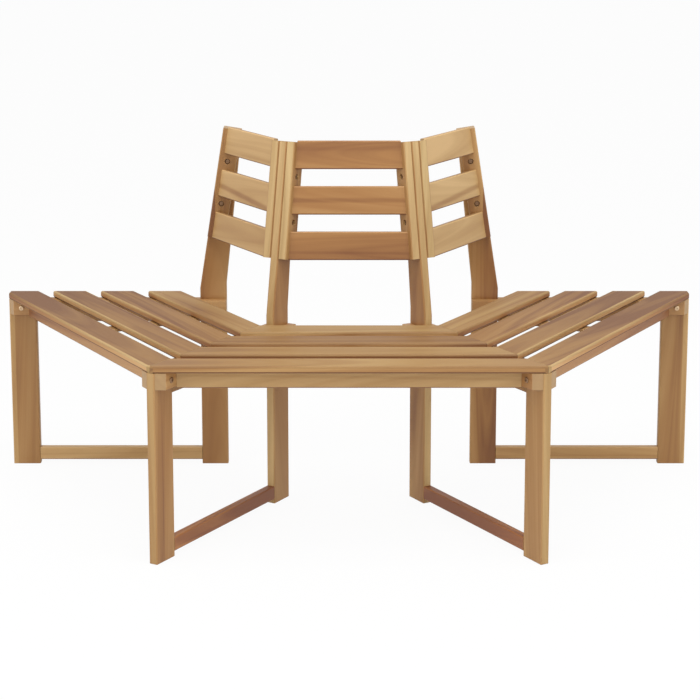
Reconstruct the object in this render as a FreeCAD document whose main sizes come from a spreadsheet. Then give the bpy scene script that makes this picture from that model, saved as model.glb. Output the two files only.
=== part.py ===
"""Half-round wooden bench that stands against a tree trunk.

Four upright frames stand like the spokes of a wheel round the trunk's axis, 60 degrees apart.
Each frame is an outer leg and a back post, tenoned to a stretcher near the ground and to a rail
under the seat. Between two frames lies a section of the bench: four seat slats on side rails, with
an apron in front and a batten beneath, and three back slats that are housed in two cleats.

A frame is drawn with X along its spoke and its thickness along Y. A section is drawn with X square
to its seat slats, pointing away from the trunk. The bench stands on the ground at Z = 0, its front
looks along -Y, and the origin is the middle of its footprint.
"""
import FreeCAD, Part
import Sketcher
import os
import re

SEAT_SLATS = 4
BACK_SLATS = 3
# Bolts, screws and their holes are many, so flat sides stand for their round outlines.
HEAD_SIDES = 16
SHANK_SIDES = 8
HOLE_SIDES = 12
SCREW_SIDES = 6
# Direction of the bench's front, -Y, in degrees, and the turn that stands a screw on its head
FRONT = 270
HALF_TURN = 180
# Edges within this distance of a level, in millimetres, lie on it.
NEAR = 0.001

SIZES = [
    # The plan: the angle between two frames, and how far legs and posts stand from the trunk's axis
    ("section_angle", 60),
    ("leg_reach", 800),
    ("post_reach", 350),
    # Boards of the frames
    ("frame_thick", 20),
    ("leg_wide", 64),
    ("post_wide", 62),
    ("stretcher_clear", 10),
    ("stretcher_tall", 30),
    ("frame_rail_tall", 54),
    ("frame_ease", 2),
    # Tenons and mortises
    ("tenon_thick", 8),
    ("tenon_long", 20),
    ("tenon_shoulder", 8),
    ("housed_long", 10),
    ("tenon_play", 0.2),
    ("mortise_spare", 1),
    # Seat
    ("seat_high", 417),
    ("slat_thick", 15),
    ("slat_wide", 69),
    ("seat_back_gap", 28.4),
    ("slat_overhang", 4),
    ("slat_round", 4),
    ("mitre_gap", 0.6),
    ("rail_tall", 35),
    ("rail_thick", 20),
    ("rail_setback", 1),
    ("apron_tall", 38.5),
    ("apron_thick", 20),
    ("apron_setback", 32),
    ("batten_wide", 36),
    ("batten_thick", 6),
    # Back
    ("post_high", 810.5),
    ("front_bend_high", 428),
    ("rear_bend_high", 440),
    ("lean_angle", 8.9),
    ("cleat_wide", 41.6),
    ("cleat_thick", 20),
    ("cleat_short", 3),
    ("back_slat_tall", 62.7),
    ("back_slat_gap", 37.3),
    ("back_slat_thick", 15),
    ("back_slat_rise", 1.9),
    ("back_slat_proud", 5.5),
    ("back_ease", 2),
    # Bolts, sleeve nuts and screws
    ("bolt_across", 6),
    ("sleeve_across", 8.4),
    ("sleeve_long", 18),
    ("sleeve_bore", 6.8),
    ("sleeve_floor", 1),
    ("thread_overlap", 6),
    ("bolt_hole", 9),
    ("head_across", 12),
    ("head_thick", 2.5),
    ("recess_across", 13),
    ("recess_deep", 5),
    ("screw_across", 4),
    ("screw_head_across", 8),
    ("screw_head_thick", 2.4),
    ("screw_hole", 5),
    ("screw_recess_across", 10),
    ("screw_recess_deep", 15),
    ("screw_tip_cover", 5),
    ("screw_spare", 1),
]

FRAMES = ["left_end", "left_corner", "right_corner", "right_end"]
SECTIONS = ["left", "centre", "right"]
OUTSIDE_ENDS = {"left_end", "right_end"}

# Formulas in the named sizes. The half angle is the mitre of a section's boards.
HALF = "section_angle / 2"
HALF_FRAME = "frame_thick / 2"
RAIL_FACE = "(frame_thick / 2 + rail_thick)"
CLEAT_FACE = "(frame_thick / 2 + cleat_thick)"
SLAT_BOTTOM = "(seat_high - slat_thick)"
RAIL_BOTTOM = "(seat_high - slat_thick - rail_tall)"
LEG_INNER = "(leg_reach - leg_wide)"
POST_INNER = "(post_reach - post_wide)"
SEAT_EDGE = f"(leg_reach * cos({HALF}) + slat_overhang)"
RAIL_END = f"({SEAT_EDGE} - rail_setback)"
APRON_FRONT = f"({SEAT_EDGE} - apron_setback)"
APRON_BACK = f"({APRON_FRONT} - apron_thick)"
APRON_MIDDLE = f"({APRON_FRONT} - apron_thick / 2)"
# The slats share out the room between the seat's edge and a gap in front of the posts' corners.
LAST_EDGE = f"(post_reach * cos({HALF}) + {HALF_FRAME} * sin({HALF}) + seat_back_gap)"
SLAT_PITCH = f"(({SEAT_EDGE} - {LAST_EDGE} - slat_wide) / {SEAT_SLATS - 1})"
# The back leans by lean_angle along a post, and by a little less square to a section.
LEAN_RUN = f"(tan(lean_angle) * cos({HALF}))"
LEAN = f"atan({LEAN_RUN})"
POST_TOP_REACH = "(post_reach - (post_high - front_bend_high) * tan(lean_angle))"
BACK_TOP = "(post_high + back_slat_rise)"
BACK_TOP_OUT = (f"((post_reach - ({BACK_TOP} - front_bend_high) * tan(lean_angle)) * cos({HALF})"
                " + back_slat_proud)")
BACK_PITCH = "(back_slat_tall + back_slat_gap)"
# The cleats stop a little above the lower edge of the lowest back slats.
BACK_LONG = f"({BACK_SLATS - 1} * {BACK_PITCH} + back_slat_tall)"
CLEAT_BOTTOM = f"({BACK_TOP} - {BACK_LONG} * cos({LEAN}) + cleat_short)"
CLEAT_LONG = f"((post_high - {CLEAT_BOTTOM}) / cos(lean_angle))"

doc = FreeCAD.newDocument("tree_bench")
sizes = doc.addObject("Spreadsheet::Sheet", "Sizes")
for row, (size_name, size_value) in enumerate(SIZES, start=1):
    sizes.set(f"A{row}", str(size_value))
    sizes.setAlias(f"A{row}", size_name)
doc.recompute()

SIZE_NAMES = {size_name for size_name, size_value in SIZES}


def in_sheet(formula):
    """Write a formula in the named sizes so that it reads them from the sheet."""
    return re.sub(r"[a-z_]+", lambda word: "Sizes." * (word[0] in SIZE_NAMES) + word[0], formula)


def value(formula):
    """The number that a formula in the named sizes gives."""
    return float(sizes.evalExpression(in_sheet(formula)))


def frame_angle(frame):
    """Direction of a frame's spoke, in degrees: the frames lie evenly about the front."""
    return FRONT + (FRAMES.index(frame) - (len(FRAMES) - 1) / 2) * value("section_angle")


def section_angle(section):
    """Direction in which a section faces, in degrees."""
    return FRONT + (SECTIONS.index(section) - (len(SECTIONS) - 1) / 2) * value("section_angle")


def head_side(frame):
    """Side of a frame, along its own Y, on which its bolt heads lie: they face the front."""
    return 1 if FRAMES.index(frame) < len(FRAMES) / 2 else -1


def frame_sides(frame):
    """Sections beside a frame and the side, along the frame's own Y, on which each lies."""
    place = FRAMES.index(frame)
    beside = []
    if place > 0:
        beside.append((SECTIONS[place - 1], -1))
    if place < len(SECTIONS):
        beside.append((SECTIONS[place], 1))
    return beside


def side_name(section, side):
    """Name of a piece at one end of a section, which lies on that side of a frame."""
    ends = {"left": ("end", "corner"), "centre": ("left", "right"), "right": ("corner", "end")}
    return f"{section}_{ends[section][0 if side > 0 else 1]}"


# The origin is the middle of the footprint, so the trunk's axis stands behind it. In front the
# eased corner of a corner leg reaches furthest, and behind it is the sleeve nuts' heads.
FRONT_REACH = f"(leg_reach * cos({HALF}) + ({HALF_FRAME} - frame_ease) * sin({HALF}))"
REAR_REACH = f"({HALF_FRAME} + head_thick)"
TRUNK_AXIS = FreeCAD.Vector(0, value(f"({FRONT_REACH} - {REAR_REACH}) / 2"), 0)


def new_body(name, angle):
    """A body whose own X points away from the trunk's axis at the given angle."""
    body = doc.addObject("PartDesign::Body", name)
    body.Label = name
    body.Placement = FreeCAD.Placement(TRUNK_AXIS, FreeCAD.Rotation(FreeCAD.Vector(0, 0, 1), angle))
    return body


def new_sketch(body, name, plane, height):
    """A sketch on one of the body's own planes, moved along its normal."""
    sketch = body.newObject("Sketcher::SketchObject", f"{body.Name}_{name}_sketch")
    origin_plane = next(item for item in body.Origin.OriginFeatures if item.Role == plane)
    sketch.AttachmentSupport = [(origin_plane, "")]
    sketch.MapMode = "FlatFace"
    sketch.setExpression("AttachmentOffset.Base.z", in_sheet(height))
    return sketch


def hold(sketch, kind, corner, formula):
    """Hold one coordinate of a corner or centre of a sketch at a formula."""
    place = sketch.addConstraint(Sketcher.Constraint(kind, *corner, value(formula)))
    sketch.setExpression(f"Constraints[{place}]", in_sheet(formula))


def outlines(body, name, plane, height, loops):
    """A sketch of closed outlines with straight sides between corners given as formulas."""
    sketch = new_sketch(body, name, plane, height)
    for corners in loops:
        first = sketch.GeometryCount
        points = [FreeCAD.Vector(value(across), value(up), 0) for across, up in corners]
        for start, end in zip(points, points[1:] + points[:1]):
            sketch.addGeometry(Part.LineSegment(start, end), False)
        for side, (across, up) in enumerate(corners):
            following = first + (side + 1) % len(corners)
            sketch.addConstraint(Sketcher.Constraint("Coincident", first + side, 2, following, 1))
            hold(sketch, "DistanceX", (first + side, 1), across)
            hold(sketch, "DistanceY", (first + side, 1), up)
    return sketch


def outline(body, name, plane, height, corners):
    """A sketch of one closed outline."""
    return outlines(body, name, plane, height, [corners])


def many_sided(across, sides, centre=("0", "0")):
    """Corners of an even-sided outline that is so far across from corner to corner."""
    along, up = centre
    turns = [360 / sides * side for side in range(sides)]
    return [(f"{along} + ({across}) / 2 * cos({turn})", f"{up} + ({across}) / 2 * sin({turn})")
            for turn in turns]


def holes(body, name, plane, height, across, sides, centres):
    """A sketch of equal holes about centres given as formulas."""
    loops = [many_sided(across, sides, centre) for centre in centres]
    return outlines(body, name, plane, height, loops)


def rectangle(left, bottom, right, top):
    """Corners of an upright rectangle."""
    return [(left, bottom), (right, bottom), (right, top), (left, top)]


def pad(sketch, length, both_ways=True):
    """Thicken an outline, by half to each side or wholly along the sketch's normal."""
    body = sketch.getParentGeoFeatureGroup()
    feature = body.newObject("PartDesign::Pad", sketch.Name.replace("sketch", "pad"))
    feature.Profile = sketch
    feature.SideType = "Symmetric" if both_ways else "One side"
    feature.setExpression("Length", in_sheet(length))
    return feature


def pocket(sketch, depth=None, direction=None):
    """Cut an outline away, through the whole body or by the depth to each side of the sketch."""
    body = sketch.getParentGeoFeatureGroup()
    feature = body.newObject("PartDesign::Pocket", sketch.Name.replace("sketch", "pocket"))
    feature.Profile = sketch
    feature.SideType = "Symmetric"
    if depth:
        feature.setExpression("Length", in_sheet(f"2 * ({depth})"))
    else:
        feature.Type = "ThroughAll"
    if direction:
        feature.UseCustomVector = True
        feature.Direction = direction
        feature.AlongSketchNormal = True
    return feature


def ease(body, amount, wanted, rounded=False):
    """Chamfer or round the edges of a body that the test picks."""
    doc.recompute()
    base = body.Tip
    names = [f"Edge{place}" for place, edge in enumerate(base.Shape.Edges, start=1) if wanted(edge)]
    kind = "Fillet" if rounded else "Chamfer"
    feature = body.newObject(f"PartDesign::{kind}", f"{body.Name}_eased")
    feature.Base = (base, names)
    feature.setExpression("Radius" if rounded else "Size", in_sheet(amount))
    return feature


def runs_along(edge, direction):
    """Whether a straight edge lies along a direction."""
    start, end = edge.firstVertex().Point, edge.lastVertex().Point
    return (end - start).cross(direction).Length < NEAR * edge.Length


UP = FreeCAD.Vector(0, 0, 1)
ALONG_X = FreeCAD.Vector(1, 0, 0)
ALONG_Y = FreeCAD.Vector(0, 1, 0)


def spoke_place(apothem, offset):
    """Where a line square to a section's facing crosses a line beside a frame: distance along the
    spoke at which a point, offset from the frame towards the section, has the given apothem."""
    return f"(({apothem}) - ({offset}) * sin({HALF})) / cos({HALF})"


def mitre_place(apothem, offset):
    """Half length of a section's board at an apothem, where it ends beside a frame's middle."""
    return f"((({apothem}) * sin({HALF}) - ({offset})) / cos({HALF}))"


def end_offset(section, end):
    """Where a seat slat ends beside a frame's middle: at the mitre, or over an outside frame."""
    frame = FRAMES[SECTIONS.index(section) + (1 if end > 0 else 0)]
    return f"(0 - {HALF_FRAME})" if frame in OUTSIDE_ENDS else "mitre_gap / 2"


def section_board(outer, inner, low_offset, high_offset):
    """Plan corners of a board across a section, cut along the frames at both ends."""
    return [
        (inner, f"0 - {mitre_place(inner, low_offset)}"),
        (outer, f"0 - {mitre_place(outer, low_offset)}"),
        (outer, mitre_place(outer, high_offset)),
        (inner, mitre_place(inner, high_offset)),
    ]


# Frames

def mortise(body, name, edge, bottom, top):
    """A mortise in the edge of an upright board, for a tenon with shoulders above and below."""
    corners = rectangle(
        "0 - tenon_thick / 2 - tenon_play", f"{bottom} + tenon_shoulder - tenon_play",
        "tenon_thick / 2 + tenon_play", f"{top} - tenon_shoulder + tenon_play")
    return pocket(outline(body, name, "YZ_Plane", edge, corners), "tenon_long + mortise_spare")


def frame_mortises(body, edge):
    """The two mortises of a leg or a post, for the stretcher and for the frame rail."""
    mortise(body, "low", edge, "stretcher_clear", "(stretcher_clear + stretcher_tall)")
    mortise(body, "high", edge, f"({SLAT_BOTTOM} - frame_rail_tall)", SLAT_BOTTOM)


SEAT_BOLT_HIGH = f"({RAIL_BOTTOM} + rail_tall / 2)"
LEG_BOLT = ("leg_reach - leg_wide / 2", SEAT_BOLT_HIGH)
POST_BOLT = ("post_reach - post_wide / 2", SEAT_BOLT_HIGH)
SEAT_BOLTS = [LEG_BOLT, POST_BOLT]


def back_bolt(gap):
    """Place of a bolt through a cleat, level with the middle of a gap between back slats."""
    up = f"({BACK_TOP} - ({gap} * {BACK_PITCH} + back_slat_tall + back_slat_gap / 2) * cos({LEAN}))"
    edge = f"(post_reach - ({up} - front_bend_high) * tan(lean_angle))"
    return f"{edge} - cleat_wide / 2 / cos(lean_angle)", up


BACK_BOLTS = [back_bolt(gap) for gap in range(BACK_SLATS - 1)]


def leg(frame):
    """Outer leg: a straight board that stops under the seat slats."""
    body = new_body(f"leg_{frame}", frame_angle(frame))
    corners = rectangle(LEG_INNER, "0", "leg_reach", SLAT_BOTTOM)
    pad(outline(body, "board", "XZ_Plane", "0", corners), "frame_thick")
    ease(body, "frame_ease", lambda edge: runs_along(edge, UP))
    frame_mortises(body, LEG_INNER)
    pocket(holes(body, "bolt", "XZ_Plane", "0", "bolt_hole", HOLE_SIDES, [LEG_BOLT]))
    return body


def post(frame):
    """Back post: upright to above the seat, then leaning back and tapering to the cleats' width."""
    body = new_body(f"post_{frame}", frame_angle(frame))
    top_rear = (f"{POST_TOP_REACH} - cleat_wide * cos(lean_angle)",
                "post_high - cleat_wide * sin(lean_angle)")
    corners = [
        (POST_INNER, "0"), ("post_reach", "0"), ("post_reach", "front_bend_high"),
        (POST_TOP_REACH, "post_high"), top_rear, (POST_INNER, "rear_bend_high"),
    ]
    pad(outline(body, "board", "XZ_Plane", "0", corners), "frame_thick")
    level = value("frame_thick")
    ease(body, "frame_ease",
         lambda edge: not runs_along(edge, ALONG_Y) and edge.BoundBox.ZLength > level)
    frame_mortises(body, "post_reach")
    bolts = [POST_BOLT] + BACK_BOLTS
    pocket(holes(body, "bolts", "XZ_Plane", "0", "bolt_hole", HOLE_SIDES, bolts))
    if frame in OUTSIDE_ENDS:
        face = f"{head_side(frame)} * {HALF_FRAME}"
        pocket(holes(body, "nut_recess", "XZ_Plane", face, "recess_across", HEAD_SIDES, BACK_BOLTS),
               "recess_deep")
    return body


def tenoned_board(name, frame, bottom, top):
    """A board in a frame's plane between leg and post, with a stub tenon at each end."""
    body = new_body(name, frame_angle(frame))
    pad(outline(body, "board", "XZ_Plane", "0", rectangle("post_reach", bottom, LEG_INNER, top)),
        "frame_thick")
    level = value(SLAT_BOTTOM) - NEAR
    ease(body, "frame_ease",
         lambda edge: runs_along(edge, ALONG_X) and edge.BoundBox.ZMax < level)
    tongue = rectangle("post_reach - tenon_long", f"{bottom} + tenon_shoulder",
                       f"{LEG_INNER} + tenon_long", f"{top} - tenon_shoulder")
    pad(outline(body, "tenons", "XZ_Plane", "0", tongue), "tenon_thick")
    return body


def stretcher(frame):
    """Stretcher of a frame, just clear of the ground."""
    return tenoned_board(f"stretcher_{frame}", frame,
                         "stretcher_clear", "(stretcher_clear + stretcher_tall)")


def frame_rail(frame):
    """Deep rail of a frame under the ends of the seat slats."""
    return tenoned_board(f"frame_rail_{frame}", frame,
                         f"({SLAT_BOTTOM} - frame_rail_tall)", SLAT_BOTTOM)


# Seat

def slat_outer(number):
    """Apothem of a seat slat's outer edge, counted from the front edge of the seat."""
    return f"({SEAT_EDGE} - {number} * {SLAT_PITCH})"


def screw_line(number):
    """Apothem of the screws into a seat slat: its middle, or behind the apron in front."""
    middle = f"({slat_outer(number)} - slat_wide / 2)"
    return middle if number else f"(({SEAT_EDGE} - slat_wide + {APRON_BACK}) / 2)"


RAIL_MIDDLE = f"({HALF_FRAME} + rail_thick / 2)"


def flush_tip(side, offset):
    """The two corners at an end of a front slat, whose tip is cut flush with the leg under it."""
    edge = (SEAT_EDGE, f"{side} * (leg_reach - {SEAT_EDGE} * cos({HALF})) / sin({HALF})")
    tip = (f"leg_reach * cos({HALF}) + {offset} * sin({HALF})",
           f"{side} * (leg_reach * sin({HALF}) - {offset} * cos({HALF}))")
    return [edge, tip] if side > 0 else [tip, edge]


def seat_slat(section, number):
    """Seat slat, mitred to its neighbours over the frames and eased along its top edges."""
    body = new_body(f"seat_slat_{section}_{number + 1}", section_angle(section))
    outer = slat_outer(number)
    inner = f"({outer} - slat_wide)"
    ends = end_offset(section, -1), end_offset(section, 1)
    corners = section_board(outer, inner, *ends)
    if number == 0:
        corners[1:3] = flush_tip(-1, ends[0]) + flush_tip(1, ends[1])
    pad(outline(body, "board", "XY_Plane", SLAT_BOTTOM, corners), "slat_thick", both_ways=False)
    level = value("seat_high") - NEAR
    ease(body, "slat_round",
         lambda edge: runs_along(edge, ALONG_Y) and edge.BoundBox.ZMin > level,
         rounded=True)
    line = screw_line(number)
    over_rail = mitre_place(line, RAIL_MIDDLE)
    spots = [(line, f"0 - {over_rail}"), (line, "0"), (line, over_rail)]
    pocket(holes(body, "pilots", "XY_Plane", SLAT_BOTTOM, "screw_across", SCREW_SIDES, spots),
           "slat_thick - screw_tip_cover + screw_spare")
    return body


def seat_rail(frame, section, side):
    """Side rail on a frame: mitred under the seat's edge and cut square behind the post."""
    body = new_body(f"seat_rail_{side_name(section, side)}", frame_angle(frame))
    near = HALF_FRAME
    corners = [
        (POST_INNER, f"{side} * {near}"),
        (spoke_place(RAIL_END, near), f"{side} * {near}"),
        (spoke_place(RAIL_END, RAIL_FACE), f"{side} * {RAIL_FACE}"),
        (POST_INNER, f"{side} * {RAIL_FACE}"),
    ]
    pad(outline(body, "board", "XY_Plane", RAIL_BOTTOM, corners), "rail_tall", both_ways=False)
    pocket(holes(body, "bolts", "XZ_Plane", "0", "bolt_hole", HOLE_SIDES, SEAT_BOLTS))
    spots = [(spoke_place(screw_line(number), RAIL_MIDDLE), f"{side} * {RAIL_MIDDLE}")
             for number in range(SEAT_SLATS)]
    pocket(holes(body, "screws", "XY_Plane", "0", "screw_hole", SCREW_SIDES, spots))
    pocket(holes(body, "screw_recess", "XY_Plane", RAIL_BOTTOM, "screw_recess_across", SCREW_SIDES,
                 spots), "screw_recess_deep")
    cheek = "(tenon_thick / 2 + tenon_play)"
    tip = f"({RAIL_FACE} - housed_long - mortise_spare)"
    mouth = f"({RAIL_FACE} + mortise_spare)"
    housing = [(spoke_place(f"{APRON_MIDDLE} {sign} {cheek}", offset), f"{side} * {offset}")
               for sign, offset in (("-", tip), ("+", tip), ("+", mouth), ("-", mouth))]
    middle_high = f"({SLAT_BOTTOM} - apron_tall / 2)"
    pocket(outline(body, "apron_housing", "XY_Plane", middle_high, housing),
           "apron_tall / 2 - tenon_shoulder + tenon_play")
    return body


def apron(section):
    """Apron under the seat's edge, with an oblique stub tenon housed in each side rail."""
    body = new_body(f"apron_{section}", section_angle(section))
    corners = section_board(APRON_FRONT, APRON_BACK, RAIL_FACE, RAIL_FACE)
    bottom = f"({SLAT_BOTTOM} - apron_tall)"
    pad(outline(body, "board", "XY_Plane", bottom, corners), "apron_tall", both_ways=False)
    front, low = value(APRON_FRONT) - NEAR, value(bottom) + NEAR
    ease(body, "frame_ease",
         lambda edge: runs_along(edge, ALONG_Y) and edge.BoundBox.ZMax < low
         and edge.BoundBox.XMin > front)
    tip = f"({RAIL_FACE} - housed_long)"
    tongue = section_board(f"({APRON_MIDDLE} + tenon_thick / 2)",
                           f"({APRON_MIDDLE} - tenon_thick / 2)", tip, tip)
    pad(outline(body, "tenons", "XY_Plane", f"({SLAT_BOTTOM} - apron_tall / 2)", tongue),
        "apron_tall - 2 * tenon_shoulder")
    return body


def batten(section):
    """Thin batten under the middle of a section's seat slats, which keeps them level."""
    body = new_body(f"batten_{section}", section_angle(section))
    corners = rectangle(LAST_EDGE, "0 - batten_wide / 2", APRON_BACK, "batten_wide / 2")
    pad(outline(body, "board", "XY_Plane", f"({SLAT_BOTTOM} - batten_thick)", corners),
        "batten_thick", both_ways=False)
    spots = [(screw_line(number), "0") for number in range(SEAT_SLATS)]
    pocket(holes(body, "screws", "XY_Plane", "0", "screw_hole", SCREW_SIDES, spots))
    return body


# Back

def down_the_back(distance, depth):
    """A point of a section's leaning back: distance down its face and depth behind it."""
    return (f"{BACK_TOP_OUT} + ({distance}) * sin({LEAN}) - ({depth}) * cos({LEAN})",
            f"{BACK_TOP} - ({distance}) * cos({LEAN}) - ({depth}) * sin({LEAN})")


def back_profile(number, shoulder, front, rear):
    """Profile of a back slat, or of its tenon: set in by a shoulder, between two depths."""
    top = f"{number} * {BACK_PITCH} + ({shoulder})"
    low = f"{number} * {BACK_PITCH} + back_slat_tall - ({shoulder})"
    return [down_the_back(top, front), down_the_back(top, rear),
            down_the_back(low, rear), down_the_back(low, front)]


def cut_along_frames(body, name, offset):
    """Cut both ends of a board across a section along upright planes beside the frames."""
    near, far = "0", "post_reach"
    for end, side in (("low", -1), ("high", 1)):
        corners = [
            (near, f"{side} * {mitre_place(near, offset)}"),
            (far, f"{side} * {mitre_place(far, offset)}"),
            (far, f"{side} * post_reach"),
            (near, f"{side} * post_reach"),
        ]
        pocket(outline(body, f"{name}_{end}", "XY_Plane", "0", corners))


def back_slat(section, number):
    """Back slat: a leaning board, compound mitred to the cleats and housed in them."""
    body = new_body(f"back_slat_{section}_{number + 1}", section_angle(section))
    board = back_profile(number, "0", "0", "back_slat_thick")
    pad(outline(body, "board", "XZ_Plane", "0", board), "2 * post_reach * sin(section_angle / 2)")
    ease(body, "back_ease", lambda edge: runs_along(edge, ALONG_Y))
    cut_along_frames(body, "mitre", CLEAT_FACE)
    tongue = back_profile(number, "tenon_shoulder", "(back_slat_thick - tenon_thick) / 2",
                          "(back_slat_thick + tenon_thick) / 2")
    pad(outline(body, "tenons", "XZ_Plane", "0", tongue), "2 * post_reach * sin(section_angle / 2)")
    cut_along_frames(body, "tenon_end", f"({CLEAT_FACE} - housed_long)")
    return body


def cleat(frame, section, side):
    """Back cleat: a leaning board bolted to a post, with a housing for each back slat."""
    body = new_body(f"cleat_{side_name(section, side)}", frame_angle(frame))
    low_reach = f"({POST_TOP_REACH} + {CLEAT_LONG} * sin(lean_angle))"
    corners = [
        (POST_TOP_REACH, "post_high"),
        (low_reach, CLEAT_BOTTOM),
        (f"{low_reach} - cleat_wide * cos(lean_angle)",
         f"{CLEAT_BOTTOM} - cleat_wide * sin(lean_angle)"),
        (f"{POST_TOP_REACH} - cleat_wide * cos(lean_angle)",
         "post_high - cleat_wide * sin(lean_angle)"),
    ]
    middle = f"{-side} * ({HALF_FRAME} + cleat_thick / 2)"
    pad(outline(body, "board", "XZ_Plane", middle, corners), "cleat_thick")
    tall = value("2 * cleat_wide")
    ease(body, "back_ease",
         lambda edge: not runs_along(edge, ALONG_Y) and edge.BoundBox.ZLength > tall)
    face = f"{-side} * {CLEAT_FACE}"
    pocket(holes(body, "bolts", "XZ_Plane", "0", "bolt_hole", HOLE_SIDES, BACK_BOLTS))
    pocket(holes(body, "recess", "XZ_Plane", face, "recess_across", HEAD_SIDES, BACK_BOLTS),
           "recess_deep")
    into = FreeCAD.Vector(value(f"sin({HALF})"), -side * value(f"cos({HALF})"), 0)
    for number in range(BACK_SLATS):
        housing = back_profile(number, "tenon_shoulder - tenon_play",
                               "(back_slat_thick - tenon_thick) / 2 - tenon_play",
                               "(back_slat_thick + tenon_thick) / 2 + tenon_play")
        corners = [(spoke_place(out, CLEAT_FACE), up) for out, up in housing]
        pocket(outline(body, f"housing_{number + 1}", "XZ_Plane", face, corners),
               "housed_long + mortise_spare", into)
    return body


# Fasteners

def headed(name, head, head_sides, across, sides, reach):
    """A head that stands on Z = 0, with a shank that hangs below it."""
    body = doc.addObject("PartDesign::Body", name)
    cap = many_sided(f"{head}_across", head_sides)
    pad(outline(body, "head", "XY_Plane", "0", cap), f"{head}_thick", both_ways=False)
    shank = many_sided(across, sides)
    pad(outline(body, "shank", "XY_Plane", f"0 - {reach}", shank), reach, both_ways=False)
    return body


def bolt(name, boards):
    """A bolt that reaches into the sleeve nut's thread through boards of a total thickness."""
    reach = f"({boards} - sleeve_long + thread_overlap)"
    return headed(name, "head", HEAD_SIDES, "bolt_across", SHANK_SIDES, reach)


def sleeve_nut():
    """Sleeve nut: a round head like the bolt's, with a bored sleeve below it for the bolt."""
    body = headed("sleeve_nut", "head", HEAD_SIDES, "sleeve_across", SHANK_SIDES, "sleeve_long")
    bore = many_sided("sleeve_bore", SHANK_SIDES)
    pocket(outline(body, "bore", "XY_Plane", "0 - sleeve_long", bore), "sleeve_long - sleeve_floor")
    return body


def screw(name, through):
    """A screw that goes through wood of a thickness and stops short of a slat's top."""
    reach = f"({through} + slat_thick - screw_tip_cover)"
    return headed(name, "screw_head", SCREW_SIDES, "screw_across", SCREW_SIDES, reach)


def group(name, places, shape):
    """Equal fasteners at their places, as separate solids of one piece."""
    node = doc.addObject("Part::Feature", name)
    node.Label = name
    copies = []
    for place in places:
        copy = shape.copy()
        copy.Placement = place
        copies.append(copy)
    node.Shape = Part.makeCompound(copies)
    node.Placement = FreeCAD.Placement()
    return node


def across_frame(frame, spot, offset, facing):
    """Place of a fastener beside a frame: its head looks along the frame's own Y or against it."""
    out, up = spot
    turn = FreeCAD.Placement(TRUNK_AXIS, FreeCAD.Rotation(UP, frame_angle(frame)))
    lie = FreeCAD.Rotation(UP, FreeCAD.Vector(0, facing, 0))
    return turn * FreeCAD.Placement(FreeCAD.Vector(value(out), value(offset), value(up)), lie)


def bolt_places(frame):
    """Places of a frame's bolts and of their sleeve nuts."""
    facing = head_side(frame)
    heads, nuts = [], []
    for spots, face, recess in ((SEAT_BOLTS, RAIL_FACE, "0"), (BACK_BOLTS, CLEAT_FACE, "recess_deep")):
        rear = HALF_FRAME if frame in OUTSIDE_ENDS else face
        for spot in spots:
            heads.append(across_frame(frame, spot, f"{facing} * ({face} - {recess})", facing))
            nuts.append(across_frame(frame, spot, f"{-facing} * ({rear} - {recess})", -facing))
    return heads, nuts


def from_below(section, apothem, along, seat):
    """Place of a screw that is driven up into a section's slat, with its head under a seat."""
    turn = FreeCAD.Placement(TRUNK_AXIS, FreeCAD.Rotation(UP, section_angle(section)))
    spot = FreeCAD.Vector(value(apothem), value(along), value(seat))
    return turn * FreeCAD.Placement(spot, FreeCAD.Rotation(ALONG_X, HALF_TURN))


nodes = []
for frame in FRAMES:
    nodes += [leg(frame), post(frame), stretcher(frame), frame_rail(frame)]
    for section, side in frame_sides(frame):
        nodes += [seat_rail(frame, section, side), cleat(frame, section, side)]
for section in SECTIONS:
    nodes += [seat_slat(section, number) for number in range(SEAT_SLATS)]
    nodes += [apron(section), batten(section)]
    nodes += [back_slat(section, number) for number in range(BACK_SLATS)]

end_bolt = bolt("end_bolt", "frame_thick + rail_thick")
corner_bolt = bolt("corner_bolt", "frame_thick + 2 * rail_thick")
nut = sleeve_nut()
rail_screw = screw("rail_screw", "rail_tall - screw_recess_deep")
batten_screw = screw("batten_screw", "batten_thick")
patterns = [end_bolt, corner_bolt, nut, rail_screw, batten_screw]
doc.recompute()

end_places, corner_places, nut_places = [], [], []
for frame in FRAMES:
    heads, nuts = bolt_places(frame)
    (end_places if frame in OUTSIDE_ENDS else corner_places).extend(heads)
    nut_places += nuts
rail_places, batten_places = [], []
for section in SECTIONS:
    for number in range(SEAT_SLATS):
        line = screw_line(number)
        for side in (-1, 1):
            rail_places.append(from_below(section, line, f"{side} * {mitre_place(line, RAIL_MIDDLE)}",
                                          f"{RAIL_BOTTOM} + screw_recess_deep"))
        batten_places.append(from_below(section, line, "0", f"{SLAT_BOTTOM} - batten_thick"))
nodes += [
    group("end_bolts", end_places, end_bolt.Shape),
    group("corner_bolts", corner_places, corner_bolt.Shape),
    group("sleeve_nuts", nut_places, nut.Shape),
    group("rail_screws", rail_places, rail_screw.Shape),
    group("batten_screws", batten_places, batten_screw.Shape),
]
doc.recompute()

for item in doc.Objects:
    if {"Invalid", "Error"} & set(item.State):
        raise RuntimeError(f"{item.Name} failed: {item.State}")
for item in nodes + patterns:
    if item.Shape.isNull() or not item.Shape.isValid():
        raise RuntimeError(f"{item.Name} has no valid shape")

os.makedirs("parts", exist_ok=True)
for node in nodes:
    node.Shape.exportStep(f"parts/{node.Label}.step")
print(len(nodes), "pieces,", sum(len(node.Shape.Solids) for node in nodes), "solids")
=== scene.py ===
import math
import random

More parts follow.
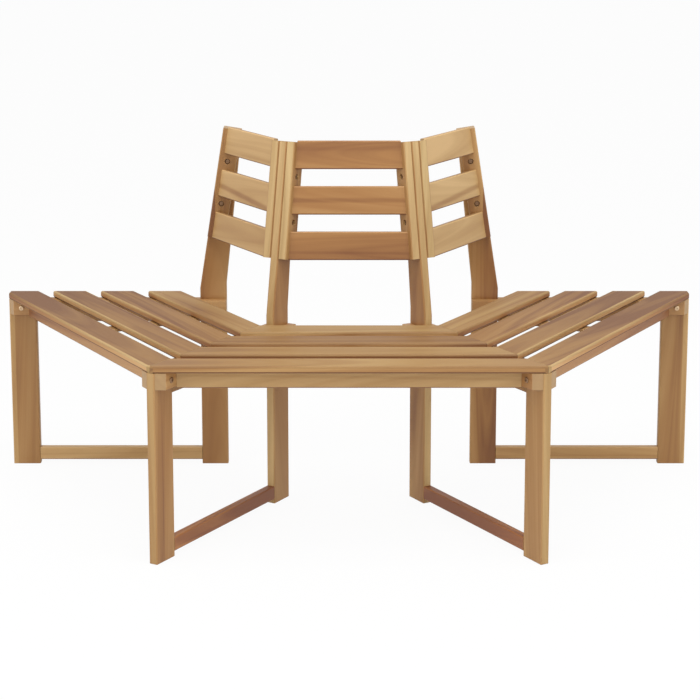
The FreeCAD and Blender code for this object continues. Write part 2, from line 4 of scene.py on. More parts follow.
import bmesh
import bpy
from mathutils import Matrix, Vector


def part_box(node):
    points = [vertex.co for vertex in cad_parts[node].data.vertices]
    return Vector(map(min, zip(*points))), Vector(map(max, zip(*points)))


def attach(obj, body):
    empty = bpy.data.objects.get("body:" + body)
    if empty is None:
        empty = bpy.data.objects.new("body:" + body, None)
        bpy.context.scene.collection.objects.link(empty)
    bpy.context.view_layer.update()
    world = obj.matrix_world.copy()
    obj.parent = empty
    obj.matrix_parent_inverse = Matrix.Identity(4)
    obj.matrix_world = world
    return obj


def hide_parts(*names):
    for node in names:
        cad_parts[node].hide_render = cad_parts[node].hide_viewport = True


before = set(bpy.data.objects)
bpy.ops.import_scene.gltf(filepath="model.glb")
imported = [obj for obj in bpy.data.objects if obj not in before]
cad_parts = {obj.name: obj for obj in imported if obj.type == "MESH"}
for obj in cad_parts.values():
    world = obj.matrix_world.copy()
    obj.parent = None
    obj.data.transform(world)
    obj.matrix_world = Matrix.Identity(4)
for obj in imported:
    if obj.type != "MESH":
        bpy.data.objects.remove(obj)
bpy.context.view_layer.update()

MM = 0.001
UP = Vector((0, 0, 1))

# The bench's plan: frames stand like spokes round the trunk's axis, with a section between two.
SECTION_ANGLE = 60
FRONT = 270
LEAN = math.radians(8.9)
FRAMES = ["left_end", "left_corner", "right_corner", "right_end"]
SIDE_PIECES = {
    "left_end": ["left_end"],
    "left_corner": ["left_corner", "centre_left"],
    "right_corner": ["centre_right", "right_corner"],
    "right_end": ["right_end"],
}
SECTIONS = ["left", "centre", "right"]
# Which way along its boards a side section's front corner lies
TOWARDS_CORNER = {"left": 1, "centre": 0, "right": -1}


def trunk_axis():
    """The trunk's axis on the ground: the outside frames lie in its plane across the bench."""
    low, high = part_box("leg_left_end")
    return Vector((0, (low.y + high.y) / 2, 0))


AXIS = trunk_axis()
LEG_REACH = -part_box("leg_left_end")[0].x


def fanned(names, name):
    """The level direction of one in a row of frames or sections, spread evenly about the front."""
    steps = names.index(name) - (len(names) - 1) / 2
    angle = math.radians(FRONT + steps * SECTION_ANGLE)
    return Vector((math.cos(angle), math.sin(angle), 0))


def spoke(name):
    """Direction from the trunk's axis along a frame."""
    return fanned(FRAMES, name)


def leaning(outward, angle):
    """A direction that rises and leans back by an angle, away from the way outward."""
    return (UP * math.cos(angle) - outward * math.sin(angle)).normalized()


def in_scene(name, data):
    """An object of the scene, at the origin."""
    made = bpy.data.objects.new(name, data)
    bpy.context.scene.collection.objects.link(made)
    return made


# Materials

def both_ways(operation):
    """A Python operator that adds a Math node, and its reflected form."""
    def direct(self, other):
        return self.shader.maths(operation, self, other)

    def reflected(self, other):
        return self.shader.maths(operation, other, self)
    return direct, reflected


class Signal:
    """A socket of a shader's nodes, on which Python's operators add Math nodes."""

    def __init__(self, shader, socket):
        self.shader = shader
        self.socket = socket

    __add__, __radd__ = both_ways("ADD")
    __sub__, __rsub__ = both_ways("SUBTRACT")
    __mul__, __rmul__ = both_ways("MULTIPLY")
    __truediv__, __rtruediv__ = both_ways("DIVIDE")
    __pow__, __rpow__ = both_ways("POWER")


class Shader:
    """The nodes of one material, or of the surroundings."""

    # A Mix node's colour sockets have the names of its number sockets, so they go by their places.
    MIX_FACTOR, MIX_FIRST, MIX_SECOND, MIX_RESULT = 0, 6, 7, 2

    def __init__(self, holder):
        holder.use_nodes = True
        self.holder = holder
        self.tree = holder.node_tree
        self.tree.nodes.clear()

    def add(self, kind, settings, inputs, output=0):
        """Add a node with its settings and the values or links of its sockets."""
        node = self.tree.nodes.new(kind)
        for name, value in settings.items():
            setattr(node, name, value)
        for name, value in inputs.items():
            if isinstance(value, Signal):
                self.tree.links.new(value.socket, node.inputs[name])
            else:
                node.inputs[name].default_value = value
        return Signal(self, node.outputs[output]) if node.outputs else None

    def maths(self, operation, *values):
        return self.add("ShaderNodeMath", {"operation": operation}, dict(enumerate(values)))

    def vector(self, x, y, z):
        return self.add("ShaderNodeCombineXYZ", {}, {"X": x, "Y": y, "Z": z})

    def parts(self, vector):
        inputs = {"Vector": vector}
        return [self.add("ShaderNodeSeparateXYZ", {}, inputs, axis) for axis in range(3)]

    def attribute(self, name, output="Fac"):
        return self.add("ShaderNodeAttribute", {"attribute_name": name}, {}, output)

    def noise(self, vector, scale=1, detail=2, roughness=0.5):
        return self.add("ShaderNodeTexNoise", {}, {
            "Vector": vector, "Scale": scale, "Detail": detail, "Roughness": roughness})

    def ramp(self, value, start, end, kind="LINEAR"):
        """0 up to start and 1 from end on, with an even rise between them."""
        return self.add("ShaderNodeMapRange", {"interpolation_type": kind}, {
            "Value": value, "From Min": start, "From Max": end})

    def step(self, value, start, end):
        """A ramp that starts and ends softly."""
        return self.ramp(value, start, end, "SMOOTHSTEP")

    def blend(self, factor, first, second, kind="MIX"):
        """Mix two colours."""
        inputs = {self.MIX_FACTOR: factor, self.MIX_FIRST: first, self.MIX_SECOND: second}
        return self.add("ShaderNodeMix", {"data_type": "RGBA", "blend_type": kind}, inputs,
                        self.MIX_RESULT)

    def bump(self, height, strength, distance):
        return self.add("ShaderNodeBump", {}, {
            "Height": height, "Strength": strength, "Distance": distance})

    def shows(self):
        """1 to the camera and in what gloss and glass show of it, and 0 to other light."""
        seen, *others = [self.add("ShaderNodeLightPath", {}, {}, f"Is {kind} Ray")
                         for kind in ("Camera", "Glossy", "Transmission")]
        for ray in others:
            seen = self.maths("MAXIMUM", seen, ray)
        return seen

    def backdrop(self, light, white, share, output):
        """Finish with one shader for the light that falls on it, and a white one where it shows."""
        mixed = self.add("ShaderNodeMixShader", {}, {0: share, 1: light, 2: white})
        self.add(output, {}, {"Surface": mixed})

    def finish(self, **sockets):
        """Give the surface its sockets, with _ in place of a space in their names."""
        inputs = {name.replace("_", " "): value for name, value in sockets.items()}
        surface = self.add("ShaderNodeBsdfPrincipled", {}, inputs)
        self.add("ShaderNodeOutputMaterial", {}, {"Surface": surface})
        return self.holder


def srgb(red, green, blue):
    """A colour as a screen shows it, from 0 to 255, in the linear values that light adds up in."""
    def linear(level):
        level /= 255
        return level / 12.92 if level <= 0.04045 else ((level + 0.055) / 1.055) ** 2.4
    return (linear(red), linear(green), linear(blue), 1)


WHITE = srgb(255, 255, 255)

# What a board's attributes tell its material, and what they are where nothing is said
LOOK = {
    # From pale to dark, how that changes across the board, and how it grows paler along it
    "tone": 0.5, "slope": 0, "fade": 0, "warmth": 0,
    # A dark streak along the board, and pale sapwood on its outer side
    "streak_at": 0, "streak_wide": 1, "streak_dark": 0, "streak_drift": 0,
    "sap_at": 2, "sap_pale": 0,
    # The slope at which the board cuts the growth rings
    "slant": 0,
    # What its outer face and its eased edges have apart from that. A paler outer face or edge is a
    # painted highlight, a darker one on a seat slat is painted shade, and the back slats' tops are
    # simply darker.
    "outer_pale": 0, "outer_warmth": 0, "outer_fade": 0, "edge_painted_light": 0.12,
    # How dark and dull use has made it
    "worn": 0,
}
# Which of a board's faces are its narrow outer one, its eased edges above and below, and its ends
PLACES = ["outer", "edge", "under", "end"]

# Woods from the palest to the darkest, and what lies over them
WOODS = [srgb(203, 167, 114), srgb(182, 144, 91), srgb(159, 116, 66), srgb(124, 80, 44)]
END_GRAIN = srgb(168, 142, 102)
PORE = srgb(84, 56, 34)
END_SHARE = 0.7
PORE_SHARE = 0.25
# What a unit of warmth adds to red, green and blue
WARM_TINT = (0.06, -0.04, -0.06)
BRIGHTEST = 1.04
FIBRE_DARK = 0.08

# The grain's figure: how often each part of it repeats in a metre, along a board and across it
WAVES = (1.3, 7)
BANDS = (1.4, 52)
RINGS = (0.6, 170)
FIBRES = (30, 1100)
PORES = (110, 2600)
NOISE_MIDDLE = 0.5
PORE_START, PORE_FULL = 0.68, 0.8
# How far the waves push the growth rings, and how much of that streaks and sapwood follow
WANDER = 30 * MM
STREAK_WANDER = 0.25
SAP_WANDER = 0.1
# The share of a streak's half width that is fully dark, and the softness of the sapwood's edge
STREAK_CORE = 0.2
SAP_SOFT = 1 * MM
# What the underside's shade, the bands and the rings add to the tone
UNDER_TONE = 0.7
BAND_TONE = 0.9
RING_TONE = 0.5
# Roughness, and what fibres, pores and use add to it
OILED_ROUGH = 0.44
FIBRE_ROUGH = 0.1
PORE_ROUGH = 0.1
WORN_ROUGH = 1.1
# Relief: heights of fibres and rings, the pores' depth, and the bump's strength and distance
FIBRE_HIGH = 0.5
RING_HIGH = 0.3
PORE_DEEP = 0.5
WOOD_BUMP = (0.2, 0.4 * MM)


class Grain:
    """The grain of the board that a material lies on, from the board's attributes."""

    def __init__(self, shader):
        self.shader = shader
        self.look = {name: shader.attribute(name) for name in [*LOOK, *PLACES]}
        self.along, self.across, self.through = shader.parts(shader.attribute("inside", "Vector"))
        log_along, log_across, log_through = shader.parts(shader.attribute("log", "Vector"))
        self.lengthwise = self.along + log_along
        waves = self.figure(WAVES, self.across, self.through)
        self.wander = (waves - NOISE_MIDDLE) * WANDER
        depth = self.through + log_through + self.along * self.look["slant"]
        ring = shader.maths("SQRT", (self.across + log_across + self.wander) ** 2 + depth ** 2)
        self.rings = self.figure(RINGS, ring, detail=3, roughness=0.6)
        self.bands = self.figure(BANDS, ring)
        self.fibres = self.figure(FIBRES, self.across, self.through)
        pores = self.figure(PORES, self.across, self.through, detail=1)
        self.pores = shader.step(pores, PORE_START, PORE_FULL)

    def figure(self, repeats, aside, inward=0, **noise):
        """Noise that is drawn out along the board."""
        along, across = repeats
        place = self.shader.vector(self.lengthwise * along, aside * across, inward * across)
        return self.shader.noise(place, **noise)

    def streak(self):
        """1 in the middle of the board's dark streak."""
        look = self.look
        offset = (self.across + self.wander * STREAK_WANDER - look["streak_at"]
                  - self.along * look["streak_drift"])
        share = self.shader.maths("ABSOLUTE", offset) / look["streak_wide"]
        return 1 - self.shader.step(share, STREAK_CORE, 1)

    def sapwood(self):
        """1 in the pale sapwood on the board's outer side."""
        edge = self.look["sap_at"]
        place = self.across + self.wander * SAP_WANDER
        return self.shader.step(place, edge - SAP_SOFT, edge + SAP_SOFT)

    def tone(self):
        """How dark the wood is, from 0 to 1, with the painted highlight and shade of its outer
        face, eased edges and underside.
        """
        look = self.look
        fade = look["fade"] + (look["outer"] + look["edge"]) * look["outer_fade"]
        return (look["tone"] + self.across * look["slope"] - self.along * fade
                + self.streak() * look["streak_dark"] - self.sapwood() * look["sap_pale"]
                - look["outer"] * look["outer_pale"] - look["edge"] * look["edge_painted_light"]
                + look["under"] * UNDER_TONE + (self.bands - NOISE_MIDDLE) * BAND_TONE
                + (self.rings - NOISE_MIDDLE) * RING_TONE)

    def colour(self):
        """The wood's colour: its tone, then end grain, pores, wear and warmth over it."""
        shader, look = self.shader, self.look
        tone = self.tone()
        spans = len(WOODS) - 1
        colour = WOODS[0]
        for place, following in enumerate(WOODS[1:]):
            share = shader.ramp(tone, place / spans, (place + 1) / spans)
            colour = shader.blend(share, colour, following)
        colour = shader.blend(look["end"] * END_SHARE, colour, END_GRAIN)
        colour = shader.blend(self.pores * PORE_SHARE, colour, PORE)
        level = BRIGHTEST - self.fibres * FIBRE_DARK - look["worn"] * (1 - look["outer"])
        warmth = look["warmth"] + look["outer"] * look["outer_warmth"]
        tint = shader.vector(*(level + warmth * change for change in WARM_TINT))
        return shader.blend(1, colour, tint, "MULTIPLY")

    def roughness(self):
        return (OILED_ROUGH + self.fibres * FIBRE_ROUGH + self.pores * PORE_ROUGH
                + self.look["worn"] * WORN_ROUGH)

    def height(self):
        return self.fibres * FIBRE_HIGH + self.rings * RING_HIGH - self.pores * PORE_DEEP


def wood():
    """Oiled hardwood: every board has its own tone, streak, pale sapwood edge and growth rings."""
    shader = Shader(bpy.data.materials.new("oiled_hardwood"))
    grain = Grain(shader)
    return shader.finish(Base_Color=grain.colour(), Roughness=grain.roughness(),
                         Normal=shader.bump(grain.height(), *WOOD_BUMP))


# Zinc plate where it is pale and darker, the brown of its painted shade, and how fine its mottle is
PLATE_PALE = srgb(226, 198, 162)
PLATE_DARK = srgb(196, 166, 130)
PLATE_PAINTED_SHADE = srgb(118, 82, 56)
MOTTLE = 900
PLATE_METALLIC = 0.7
# Roughness, and what mottle and painted shade add to it
PLATE_ROUGH = 0.28
MOTTLE_ROUGH = 0.2
PAINTED_SHADE_ROUGH = 0.1
PLATE_BUMP = (0.15, 0.1 * MM)


def steel():
    """Zinc-plated steel of the bolts, nuts and screws, with brown painted shade where it says so.
    """
    shader = Shader(bpy.data.materials.new("zinc_plate"))
    mottle = shader.noise(shader.add("ShaderNodeTexCoord", {}, {}, "Object"), MOTTLE)
    painted_shade = shader.attribute("painted_shade")
    colour = shader.blend(mottle, PLATE_PALE, PLATE_DARK)
    colour = shader.blend(painted_shade, colour, PLATE_PAINTED_SHADE)
    rough = mottle * MOTTLE_ROUGH + PLATE_ROUGH + painted_shade * PAINTED_SHADE_ROUGH
    return shader.finish(Base_Color=colour, Metallic=PLATE_METALLIC, Roughness=rough,
                         Normal=shader.bump(mottle, *PLATE_BUMP))


WOOD = wood()
STEEL = steel()

# Boards

EDGE_SOFT = 0.9 * MM
EDGE_STEPS = 3
SLAT_ROUND = 4 * MM
BELOW_SOFT = 3.5 * MM
SHARP_EDGE = math.radians(30)
LONG_EDGE = 14 * MM
SAME_POINT = 0.01 * MM
FLAT = math.radians(1)
PARALLEL = 0.999

# A face is square to the board where its normal lies this much across or through it. It is the
# outer face or an end where the normal lies this much across or along it. One that is neither is
# an eased edge, and is in shade where it turns further down than this.
SQUARE_FACE = 0.98
OUTER_FACE = 0.9
END_FACE = 0.7
UNDERSIDE = -0.2

# What chance gives a board: its place in the log in metres, along, across and through it, the
# streak's place and half width by the board's half width, the streak's darkness and drift along
# the board, the slope of its rings, and how far its tone and warmth may be off
shuffle = random.Random(7)
LOG_PLACE = [(0, 40), (-0.05, 0.05), (0.03, 0.09)]
STREAK_CHANCE = {"streak_at": (-0.7, 0.7), "streak_wide": (0.1, 0.3), "streak_dark": (0, 0.14),
                 "streak_drift": (-0.02, 0.02)}
SLANT = (0.02, 0.06)
SPREAD = {"tone": 0.03, "warmth": 0.2}

# Looks of the seat slats from the front, in the centre section and in those beside it
# The centre's slot faces and eased edges are mostly darker, a painted shade, and the fronts and
# edges beside it mostly paler, a painted highlight.
SEAT_LOOKS = [
    (dict(tone=0.66, outer_pale=0.05, edge_painted_light=-0.12),
     dict(tone=0.68, outer_pale=-0.42, edge_painted_light=-0.1),
     dict(tone=0.79, outer_pale=-0.13, edge_painted_light=-0.1),
     dict(tone=0.54, edge_painted_light=-0.1)),
    (dict(tone=0.88, outer_pale=0.32, edge_painted_light=0.52, outer_fade=0.85),
     dict(tone=0.8, outer_pale=0.7, edge_painted_light=0.6, outer_fade=-0.9),
     dict(tone=0.78, outer_pale=0.25, edge_painted_light=0.4, outer_fade=-0.9),
     dict(tone=0.56, outer_pale=-0.1, edge_painted_light=0.05, outer_fade=-0.9)),
]
# What all of them have in common, likewise: those beside grow paler towards the front corners.
# Their cool warmth is partly the wood's hue and partly a painted sheen.
SEAT_WOOD = [dict(warmth=-0.55, outer_warmth=0.65, worn=0.083),
             dict(warmth=-0.1, outer_warmth=1.15, worn=0.14, fade=0.35)]
# Looks of the aprons, likewise
APRON_LOOKS = [dict(tone=0.2), dict(tone=0.6, warmth=1.1, fade=1.0)]
# Looks of the back slats from the top, likewise: the centre ones are darker and redder
BACK_LOOKS = [
    (dict(tone=0.76, slope=0.1, warmth=0.5),
     dict(tone=0.6, streak_at=0, streak_wide=0.25, streak_dark=0.2, streak_drift=0, warmth=0.5),
     dict(tone=0.84, slope=-0.08, warmth=0.7)),
    (dict(tone=0.18),
     dict(tone=0.16, streak_at=-0.5, streak_wide=0.3, streak_dark=0.4, streak_drift=-0.08),
     dict(tone=0.2, streak_at=0, streak_wide=0.6, streak_dark=0.1, streak_drift=0)),
]
BACK_OUTER_PALE = -0.5


def merged(name):
    """A copy of a CAD piece's mesh with its points joined and its flat faces whole."""
    form = bmesh.new()
    form.from_mesh(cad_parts[name].data)
    bmesh.ops.remove_doubles(form, verts=form.verts, dist=SAME_POINT)
    bmesh.ops.dissolve_limit(form, angle_limit=FLAT, verts=form.verts, edges=form.edges)
    return form


def round_off(form, edges, size, clamped=False):
    """Round some edges of a form."""
    bmesh.ops.bevel(form, geom=edges, offset=size, offset_type="OFFSET", affect="EDGES",
                    segments=EDGE_STEPS, profile=0.5, material=-1, clamp_overlap=clamped)


def soften(form, clamped):
    """Take the sharpness off the long edges of a board."""
    long = [edge for edge in form.edges if edge.is_manifold and edge.calc_length() > LONG_EDGE]
    sharp = [edge for edge in long if edge.calc_face_angle() > SHARP_EDGE]
    round_off(form, sharp, EDGE_SOFT, clamped)


def piece(name, form, material, slot):
    """Make a finished piece of the bench out of its form."""
    mesh = bpy.data.meshes.new(name)
    form.to_mesh(mesh)
    form.free()
    mesh.materials.append(material)
    mesh.shade_smooth()
    mesh.set_sharp_from_angle(angle=SHARP_EDGE)
    made = in_scene(name, mesh)
    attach(made, "root")
    return made


def board_look(look, half_width):
    """What is said of a board's look, and what chance gives it."""
    values = dict(LOOK)
    for name, reach in STREAK_CHANCE.items():
        values[name] = shuffle.uniform(*reach)
    values["slant"] = shuffle.choice((-1, 1)) * shuffle.uniform(*SLANT)
    values.update(look)
    for name, spread in SPREAD.items():
        values[name] += shuffle.uniform(-spread, spread)
    for name in ("streak_at", "streak_wide", "sap_at"):
        values[name] *= half_width
    values["slope"] /= half_width
    return values


def mark_places(mesh, along, across):
    """Mark which of a board's faces is where. Eased edges count less where they turn to an end."""
    through = along.cross(across)
    marks = [mesh.attributes.new(name, "FLOAT", "FACE") for name in PLACES]
    for face in mesh.polygons:
        ends = abs(face.normal.dot(along))
        square = max(abs(face.normal.dot(way)) for way in (across, through)) > SQUARE_FACE
        eased = ends < END_FACE and not square
        above = face.normal.z > UNDERSIDE
        found = [square and face.normal.dot(across) > OUTER_FACE,
                 (eased and above) * (1 - ends),
                 eased and not above,
                 ends > END_FACE]
        for mark, value in zip(marks, found):
            mark.data[face.index].value = value


def lay_grain(mesh, along, across, look):
    """Give a board its own grain: its place in the log that it was sawn from, and its look."""
    ways = (along, across, along.cross(across))
    low = [min(vertex.co.dot(way) for vertex in mesh.vertices) for way in ways]
    high = [max(vertex.co.dot(way) for vertex in mesh.vertices) for way in ways]
    middle = [(top + bottom) / 2 for bottom, top in zip(low, high)]
    log = [shuffle.uniform(*reach) for reach in LOG_PLACE]
    values = board_look(look, (high[1] - low[1]) / 2)
    places = mesh.attributes.new("inside", "FLOAT_VECTOR", "POINT")
    starts = mesh.attributes.new("log", "FLOAT_VECTOR", "POINT")
    for vertex, place, start in zip(mesh.vertices, places.data, starts.data):
        place.vector = [vertex.co.dot(way) - centre for way, centre in zip(ways, middle)]
        start.vector = log
    for name, value in values.items():
        level = mesh.attributes.new(name, "FLOAT", "POINT")
        for item in level.data:
            item.value = value
    mark_places(mesh, along, across)


def at_tip(point):
    """Whether a point lies on a slat's tip, which is cut flush with the outside of a leg."""
    return any((point - AXIS).dot(spoke(name)) > LEG_REACH - SAME_POINT for name in FRAMES)


def slat_block(node):
    """A sharp-edged block on the plan of a seat slat's CAD piece, with its bottom and top."""
    cad = merged(node)
    heights = [vertex.co.z for vertex in cad.verts]
    low, top = min(heights), max(heights)
    form = bmesh.new()
    for vertex in cad.verts:
        if vertex.co.z - low < SAME_POINT:
            for height in (low, top):
                form.verts.new((vertex.co.x, vertex.co.y, height))
    cad.free()
    hull = bmesh.ops.convex_hull(form, input=form.verts)
    spare = {item for item in hull["geom_interior"] + hull["geom_unused"]
             if isinstance(item, bmesh.types.BMVert)}
    bmesh.ops.delete(form, geom=list(spare), context="VERTS")
    bmesh.ops.dissolve_limit(form, angle_limit=FLAT, verts=form.verts, edges=form.edges)
    bmesh.ops.recalc_face_normals(form, faces=form.faces)
    return form, low, top


def seat_form(node, along):
    """A seat slat cut to the plan of its CAD piece, with rounded long edges and tips."""
    form, low, top = slat_block(node)

    def edges_at(height):
        return [edge for edge in form.edges
                if all(abs(vertex.co.z - height) < SAME_POINT for vertex in edge.verts)]

    def is_long(edge):
        way = (edge.verts[0].co - edge.verts[1].co).normalized()
        return abs(way.dot(along)) > PARALLEL

    def is_tip(edge):
        return all(at_tip(vertex.co) for vertex in edge.verts)

    round_off(form, [edge for edge in edges_at(top) if is_long(edge) or is_tip(edge)], SLAT_ROUND)
    round_off(form, [edge for edge in edges_at(low) if is_long(edge)], BELOW_SOFT)
    return form


def board(node, along, across, slot, seat=False, **look):
    """A wooden board in place of its CAD piece, with softened edges and grain along its length."""
    form = seat_form(node, along) if seat else merged(node)
    soften(form, clamped=not seat)
    made = piece(f"{node}_wood", form, WOOD, slot)
    lay_grain(made.data, along, across, look)
    made.modifiers.new("flats", "WEIGHTED_NORMAL").keep_sharp = True
    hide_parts(node)


def frame_boards(name):
    """The boards that lie along one frame: leg, post, stretcher, rails and cleats."""
    out = spoke(name)
    outside = name.endswith("end")
    # The narrow outer faces of the legs, posts and cleats are paler: a painted highlight.
    board(f"leg_{name}", UP, out, "frame_wood", tone=0.64, sap_at=0.63 if outside else 2,
          sap_pale=0.28, outer_pale=0.2, outer_warmth=-0.5, warmth=0.3)
    # The outside frames' posts grow darker towards their outer side.
    board(f"post_{name}", UP, out, "frame_wood", tone=0.56, slope=0.3 if outside else 0,
          outer_pale=0.4, outer_warmth=-0.8, warmth=0.4)
    board(f"stretcher_{name}", out, UP, "frame_wood", tone=0.28 if outside else 0.93,
          warmth=0.4 if outside else 2.2)
    board(f"frame_rail_{name}", out, UP, "frame_wood", tone=0.6)
    for side in SIDE_PIECES[name]:
        board(f"seat_rail_{side}", out, UP, "frame_wood", tone=0.5, warmth=0.6)
        # On the outside frames the cleats have a dark band along their outer side.
        board(f"cleat_{side}", leaning(out, LEAN), out, "back_wood", tone=0.6, outer_pale=0.4,
              outer_warmth=-0.6, sap_at=0.52, sap_pale=-0.5 if outside else 0)


def faded(look, corner):
    """A look that fades along the board towards a section's front corner."""
    return {**look, **{name: look.get(name, 0) * corner for name in ("fade", "outer_fade")}}


def section_boards(name):
    """The boards that lie across one section: seat slats, apron, batten and back slats."""
    out = fanned(SECTIONS, name)
    along = UP.cross(out)
    beside = name != "centre"
    corner = TOWARDS_CORNER[name]
    for number, look in enumerate(SEAT_LOOKS[beside], start=1):
        board(f"seat_slat_{name}_{number}", along, out, "seat_wood", seat=True,
              **faded({**SEAT_WOOD[beside], **look}, corner))
    board(f"apron_{name}", along, UP, "seat_wood", **faded(APRON_LOOKS[beside], corner))
    board(f"batten_{name}", out, along, "seat_wood", tone=0.6)
    lean = math.atan(math.tan(LEAN) * math.cos(math.radians(SECTION_ANGLE / 2)))
    for number, look in enumerate(BACK_LOOKS[beside], start=1):
        look = {"outer_pale": BACK_OUTER_PALE, **look}
        if name == "right":
            look["streak_drift"] = -look.get("streak_drift", 0)
        board(f"back_slat_{name}_{number}", along, leaning(out, lean), "back_wood", **look)


for name in FRAMES:
    frame_boards(name)
for name in SECTIONS:
    section_boards(name)

# Bolts, sleeve nuts and screws

# A head's outline from its rim over its dome to its socket, then the socket's: distance from the
# bolt's axis, in the socket to its flats, and depth below the top, in mm
HEAD_OUTLINE = [(6, 2.5), (6, 1.5), (5.7, 1), (5, 0.5), (4, 0.15), (2.9, 0), (2.5, 0.05)]
SOCKET_FLAT = 2
SOCKET_OUTLINE = [(SOCKET_FLAT, 0.1), (SOCKET_FLAT, 1.6)]
SOCKET_SIDES = 6
TURN_STEPS = 24
BOLT_SHANK = 3
NUT_SLEEVE = 4.2
END_DEPTH = 0.1 * MM
# How far a head's painted shade takes it towards that brown
HEAD_SHADE = 0.75
# Painted shade browns the outside frames' bolt heads above this height, and all others everywhere.
SHADED_ABOVE = 0.45


def islands(form):
    """The separate solids of a form, each as its points."""
    waiting = set(form.verts)
    while waiting:
        group, reached = [], [waiting.pop()]
        while reached:
            point = reached.pop()
            group.append(point.co.copy())
            for edge in point.link_edges:
                other = edge.other_vert(point)
                if other in waiting:
                    waiting.remove(other)
                    reached.append(other)
        yield group


def middle_of(points):
    return sum(points, Vector()) / len(points)


def head_and_foot(points):
    """The middles of a bolt's two ends, across the frame that it lies in: the wide one first."""
    middle = middle_of(points) - AXIS
    beside = min((UP.cross(spoke(name)) for name in FRAMES), key=lambda way: abs(middle.dot(way)))
    reach = [point.dot(beside) for point in points]
    ends = []
    for level in (min(reach), max(reach)):
        rim = [point for point, place in zip(points, reach) if abs(place - level) < END_DEPTH]
        centre = middle_of(rim)
        ends.append((max((point - centre).length for point in rim), centre))
    ends.sort(key=lambda end: end[0], reverse=True)
    return [centre for _, centre in ends]


def corner_stretch(angle):
    """How much further a six-sided socket reaches at an angle than at its flats."""
    side = math.tau / SOCKET_SIDES
    return 1 / math.cos((angle + side / 2) % side - side / 2)


def headed_bolt(form, head, foot, shank):
    """A bolt spun about its axis: a domed head with a six-sided socket, and a round shank."""
    out = (head - foot).normalized()
    aside = out.cross(UP).normalized()
    rise = out.cross(aside)
    length = (head - foot).length / MM
    outline = [(0, length), (shank, length), (shank, HEAD_OUTLINE[0][1]),
               *HEAD_OUTLINE, *SOCKET_OUTLINE, (0, SOCKET_OUTLINE[-1][1])]
    others = set(form.verts)
    points = [form.verts.new(head + (aside * radius - out * depth) * MM)
              for radius, depth in outline]
    edges = [form.edges.new(pair) for pair in zip(points, points[1:])]
    bmesh.ops.spin(form, geom=points + edges, cent=head, axis=out, angle=math.tau,
                   steps=TURN_STEPS, use_merge=True)
    turned = [vertex for vertex in form.verts if vertex not in others]
    for vertex in turned:
        offset = vertex.co - head
        radial = offset - out * offset.dot(out)
        if abs(radial.length - SOCKET_FLAT * MM) < SAME_POINT:
            angle = math.atan2(radial.dot(rise), radial.dot(aside))
            vertex.co += radial * (corner_stretch(angle) - 1)
    bmesh.ops.remove_doubles(form, verts=turned, dist=SAME_POINT)


def painted_shade(mesh, shade_from):
    """Give the heads that lie above a height painted shade, brown like the wood they reflect."""
    level = mesh.attributes.new("painted_shade", "FLOAT", "POINT")
    for vertex, item in zip(mesh.vertices, level.data):
        item.value = HEAD_SHADE if vertex.co.z > shade_from else 0


def bolts(node, name, shank, shade_from=0):
    """All the bolts or nuts of one node, with painted shade above a height."""
    cad = merged(node)
    form = bmesh.new()
    for points in islands(cad):
        headed_bolt(form, *head_and_foot(points), shank)
    cad.free()
    bmesh.ops.recalc_face_normals(form, faces=form.faces)
    made = piece(name, form, STEEL, "bolt_metal")
    painted_shade(made.data, shade_from)
    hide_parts(node)


bolts("end_bolts", "end_bolt_heads", BOLT_SHANK, SHADED_ABOVE)
bolts("corner_bolts", "corner_bolt_heads", BOLT_SHANK)
bolts("sleeve_nuts", "sleeve_nut_heads", NUT_SLEEVE)
for node in ("rail_screws", "batten_screws"):
    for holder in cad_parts[node].material_slots:
        holder.material = STEEL

# Stage

FLOOR_HALF = 60
FLOOR_PAINT = srgb(236, 236, 236)
# How white the floor shows: what is left of its own paint keeps the bench's shadow
FLOOR_WHITE = 0.94
SKY_LIGHT = 0.68
# Soft lamps: place, target, side and power
LAMPS = {
    "overhead": ((0, -1.2, 3.6), (0, 0, 0.3), 2.4, 72),
    "left": ((-3.6, -2.0, 1.7), (0, 0, 0.4), 2.0, 32),
    "right": ((3.6, -2.0, 1.7), (0, 0, 0.4), 2.0, 32),
}
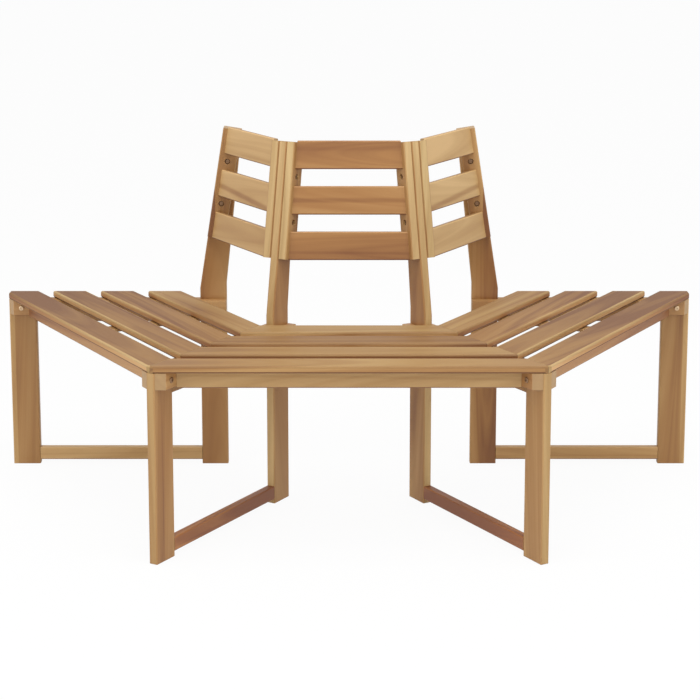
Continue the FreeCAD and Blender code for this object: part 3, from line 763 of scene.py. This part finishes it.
# The photograph's view: from in front, a little above the bench, through a long lens
CAMERA_DISTANCE = 4.4764
CAMERA_HEIGHT = 1.4012
CAMERA_DIP = math.radians(9.99)
SENSOR = 36
LENS = 99.95
SHIFT = (0.0013, -0.2)


def floor_finish():
    """Pale floor that keeps the bench's shadow and looks white to the camera where it is lit."""
    shader = Shader(bpy.data.materials.new("pale_floor"))
    matt = shader.add("ShaderNodeBsdfDiffuse", {}, {"Color": FLOOR_PAINT})
    white = shader.add("ShaderNodeEmission", {}, {"Color": WHITE, "Strength": 1})
    shader.backdrop(matt, white, shader.shows() * FLOOR_WHITE, "ShaderNodeOutputMaterial")
    return shader.holder


def floor():
    """A level floor under the bench."""
    form = bmesh.new()
    bmesh.ops.create_grid(form, x_segments=1, y_segments=1, size=FLOOR_HALF)
    mesh = bpy.data.meshes.new("floor")
    form.to_mesh(mesh)
    form.free()
    mesh.materials.append(floor_finish())
    made = in_scene("floor", mesh)


def sky():
    """White surroundings: a plain light on the bench, and white to the camera and in gloss."""
    world = bpy.data.worlds.new("studio")
    bpy.context.scene.world = world
    shader = Shader(world)
    light, white = [shader.add("ShaderNodeBackground", {}, {"Color": WHITE, "Strength": strength})
                    for strength in (SKY_LIGHT, 1)]
    shader.backdrop(light, white, shader.shows(), "ShaderNodeOutputWorld")


def lamp(name, place, target, size, power):
    """A square soft lamp that points at a place on the bench."""
    light = bpy.data.lights.new(name, "AREA")
    light.size = size
    light.energy = power
    made = in_scene(name, light)
    made.location = place
    made.rotation_euler = (Vector(target) - Vector(place)).to_track_quat("-Z", "Y").to_euler()


def camera():
    """A camera at the photograph's viewing angle, that looks along +Y and a little down."""
    data = bpy.data.cameras.new("camera")
    data.sensor_width = SENSOR
    data.lens = LENS
    data.shift_x, data.shift_y = SHIFT
    made = in_scene("camera", data)
    made.location = (0, AXIS.y - CAMERA_DISTANCE, CAMERA_HEIGHT)
    made.rotation_euler = (math.pi / 2 - CAMERA_DIP, 0, 0)
    bpy.context.scene.camera = made


floor()
sky()
for name, settings in LAMPS.items():
    lamp(name, *settings)
camera()
bpy.context.scene.view_settings.view_transform = "Standard"
